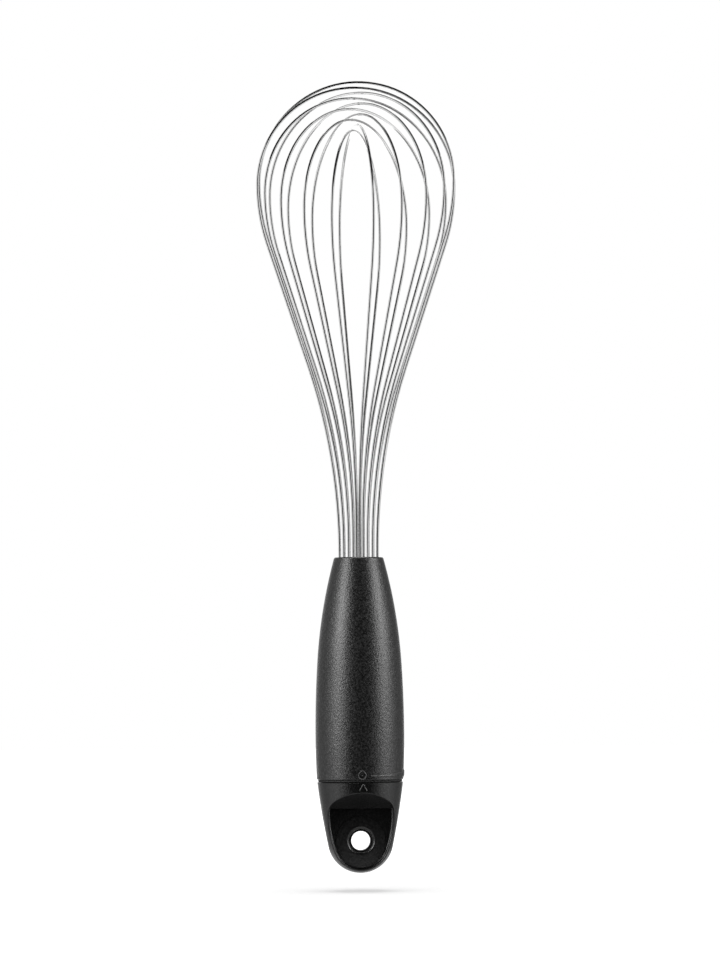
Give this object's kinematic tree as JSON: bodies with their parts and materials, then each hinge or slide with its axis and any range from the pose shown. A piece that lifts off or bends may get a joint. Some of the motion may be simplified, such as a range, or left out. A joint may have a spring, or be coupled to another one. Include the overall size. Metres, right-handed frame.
{
  "type": "folding balloon whisk",
  "caption": "Balloon whisk with nested wire loops that turn about the handle's axis and fold flat when the end cap is turned.",
  "frame": {"origin": "on the handle's axis, at the lowest point of the end cap", "axes": "+Z along the handle towards the wire loops, -Y towards the front with the hanging hole's scoop and the marks, +X to the right seen from the front"},
  "size_m": [0.0738, 0.0708, 0.2911],
  "materials": {
    "grip": "soft matte",
    "cap": "soft matte",
    "dark_ring": "matte",
    "inner_plastic": "moulded",
    "wire": "polished",
    "hub_steel": "machined",
    "steel": "turned",
    "spring_steel": "dark",
    "rubber": "matte"
  },
  "bodies": {
    "grip": {"grip_shell": "grip", "mouth_ring": "dark_ring", "loop_carrier": "inner_plastic", "bearing_plate": "inner_plastic", "snap_ring": "spring_steel", "lower_bush": "inner_plastic", "stop_pin": "steel", "hub_washer": "steel", "wire_loop_10": "wire"},
    "knob": {"end_cap": "cap", "cap_insert": "inner_plastic", "cap_screws": "steel", "spindle": "steel", "spindle_head": "steel", "drive_pin": "steel", "friction_ring": "rubber", "thrust_washer": "steel", "wire_loop_9": "wire"},
    "loop_1": {"wire_loop_1": "wire", "loop_hub_1": "hub_steel"},
    "loop_2": {"wire_loop_2": "wire", "loop_hub_2": "hub_steel"},
    "loop_3": {"wire_loop_3": "wire", "loop_hub_3": "hub_steel"},
    "loop_4": {"wire_loop_4": "wire", "loop_hub_4": "hub_steel"},
    "loop_5": {"wire_loop_5": "wire", "loop_hub_5": "hub_steel"},
    "loop_6": {"wire_loop_6": "wire", "loop_hub_6": "hub_steel"},
    "loop_7": {"wire_loop_7": "wire", "loop_hub_7": "hub_steel"},
    "loop_8": {"wire_loop_8": "wire", "loop_hub_8": "hub_steel"}
  },
  "joints": [
    {"name": "knob_turn", "type": "hinge", "parent": "grip", "child": "knob", "pos_m": [0, 0, 0], "axis": [0, 0, 1], "range_deg": [0, 110.24]},
    {"name": "loop_1_turn", "type": "hinge", "parent": "grip", "child": "loop_1", "pos_m": [0, 0, 0], "axis": [0, 0, 1], "range_deg": [0, 59.24]},
    {"name": "loop_2_turn", "type": "hinge", "parent": "grip", "child": "loop_2", "pos_m": [0, 0, 0], "axis": [0, 0, 1], "range_deg": [0, 51]},
    {"name": "loop_3_turn", "type": "hinge", "parent": "grip", "child": "loop_3", "pos_m": [0, 0, 0], "axis": [0, 0, 1], "range_deg": [0, 71.99]},
    {"name": "loop_4_turn", "type": "hinge", "parent": "grip", "child": "loop_4", "pos_m": [0, 0, 0], "axis": [0, 0, 1], "range_deg": [0, 38.25]},
    {"name": "loop_5_turn", "type": "hinge", "parent": "grip", "child": "loop_5", "pos_m": [0, 0, 0], "axis": [0, 0, 1], "range_deg": [0, 84.74]},
    {"name": "loop_6_turn", "type": "hinge", "parent": "grip", "child": "loop_6", "pos_m": [0, 0, 0], "axis": [0, 0, 1], "range_deg": [0, 25.5]},
    {"name": "loop_7_turn", "type": "hinge", "parent": "grip", "child": "loop_7", "pos_m": [0, 0, 0], "axis": [0, 0, 1], "range_deg": [0, 97.49]},
    {"name": "loop_8_turn", "type": "hinge", "parent": "grip", "child": "loop_8", "pos_m": [0, 0, 0], "axis": [0, 0, 1], "range_deg": [0, 12.75]}
  ],
  "couplings": [
    {"joint": "loop_1_turn", "follows": "knob_turn", "ratio": 0.53736},
    {"joint": "loop_2_turn", "follows": "knob_turn", "ratio": 0.46263},
    {"joint": "loop_3_turn", "follows": "knob_turn", "ratio": 0.65302},
    {"joint": "loop_4_turn", "follows": "knob_turn", "ratio": 0.34697},
    {"joint": "loop_5_turn", "follows": "knob_turn", "ratio": 0.76868},
    {"joint": "loop_6_turn", "follows": "knob_turn", "ratio": 0.23131},
    {"joint": "loop_7_turn", "follows": "knob_turn", "ratio": 0.88434},
    {"joint": "loop_8_turn", "follows": "knob_turn", "ratio": 0.11565}
  ]
}
